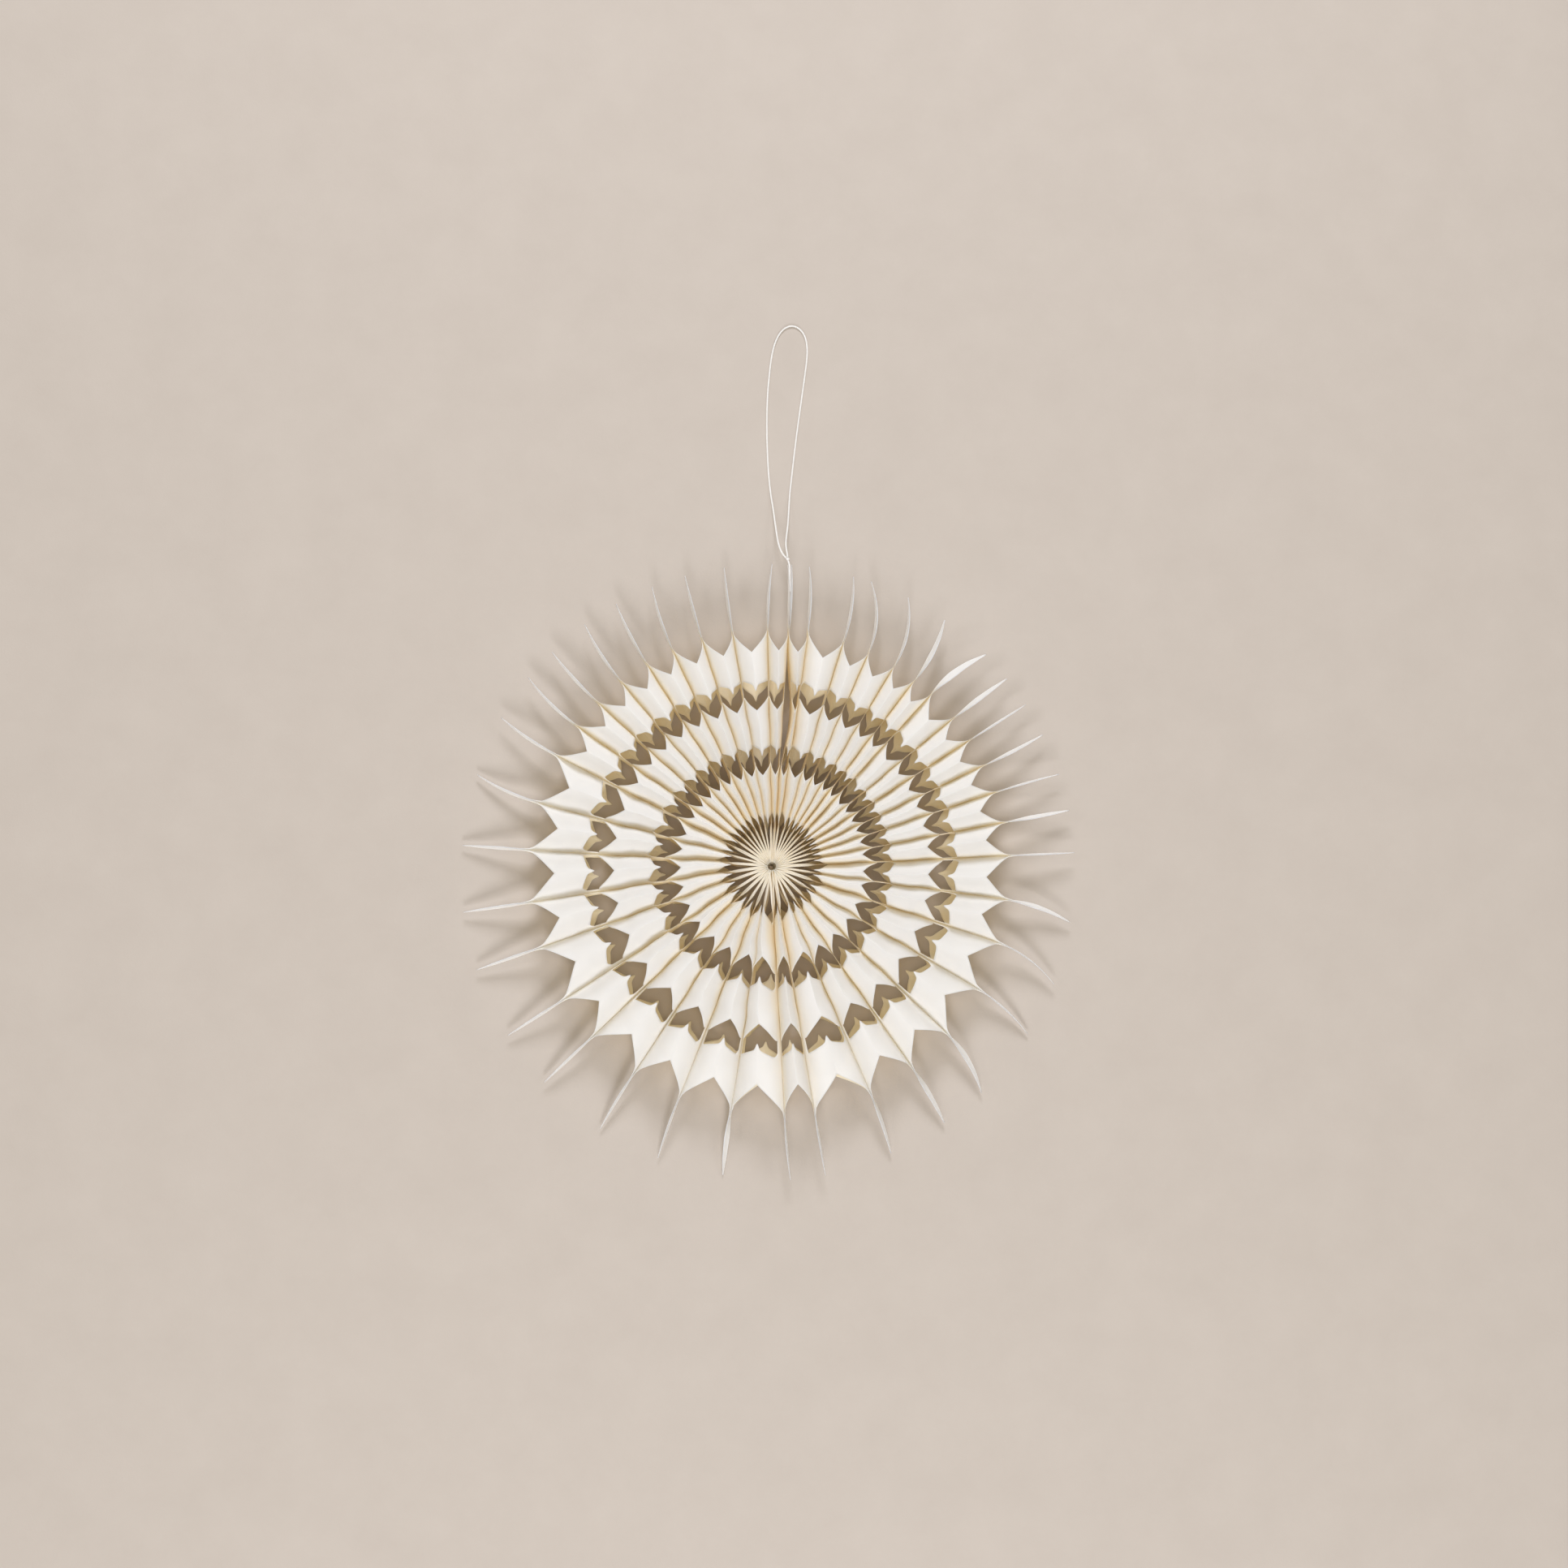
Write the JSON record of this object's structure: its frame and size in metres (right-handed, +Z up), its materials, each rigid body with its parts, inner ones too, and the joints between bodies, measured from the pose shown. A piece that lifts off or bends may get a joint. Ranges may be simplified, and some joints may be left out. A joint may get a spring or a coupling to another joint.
{
  "type": "paper snowflake",
  "caption": "Large hanging paper star made of white paper bags glued side by side, cut with heart-shaped windows and long points, fanned into a full circle with a cotton hanging loop.",
  "frame": {"origin": "middle of the star's outline, on the surface that it lies on", "axes": "+Z up, away from the surface; +Y along the fan's join, towards the hanging loop; +X to the right, seen from above"},
  "size_m": [0.3988, 0.5617, 0.0614],
  "materials": {
    "white_paper": "matte",
    "white_cotton": "matte"
  },
  "bodies": {
    "root": {"paper_bag_01": "white_paper", "paper_bag_02": "white_paper", "paper_bag_03": "white_paper", "paper_bag_04": "white_paper", "paper_bag_05": "white_paper", "paper_bag_06": "white_paper", "paper_bag_07": "white_paper", "paper_bag_08": "white_paper", "paper_bag_09": "white_paper", "paper_bag_10": "white_paper", "paper_bag_11": "white_paper", "paper_bag_12": "white_paper", "paper_bag_13": "white_paper", "paper_bag_14": "white_paper", "paper_bag_15": "white_paper", "paper_bag_16": "white_paper", "paper_bag_17": "white_paper", "paper_bag_18": "white_paper", "paper_bag_19": "white_paper", "paper_bag_20": "white_paper", "paper_bag_21": "white_paper", "paper_bag_22": "white_paper", "paper_bag_23": "white_paper", "paper_bag_24": "white_paper", "paper_bag_25": "white_paper", "paper_bag_26": "white_paper", "paper_bag_27": "white_paper", "paper_bag_28": "white_paper", "paper_bag_29": "white_paper", "paper_bag_30": "white_paper", "paper_bag_31": "white_paper", "paper_bag_32": "white_paper", "paper_bag_33": "white_paper", "paper_bag_34": "white_paper", "paper_bag_35": "white_paper", "paper_bag_36": "white_paper", "paper_bag_37": "white_paper", "paper_bag_38": "white_paper", "paper_bag_39": "white_paper", "hanging_loop": "white_cotton", "loop_knot": "white_cotton", "loop_tail": "white_cotton"}
  },
  "joints": []
}
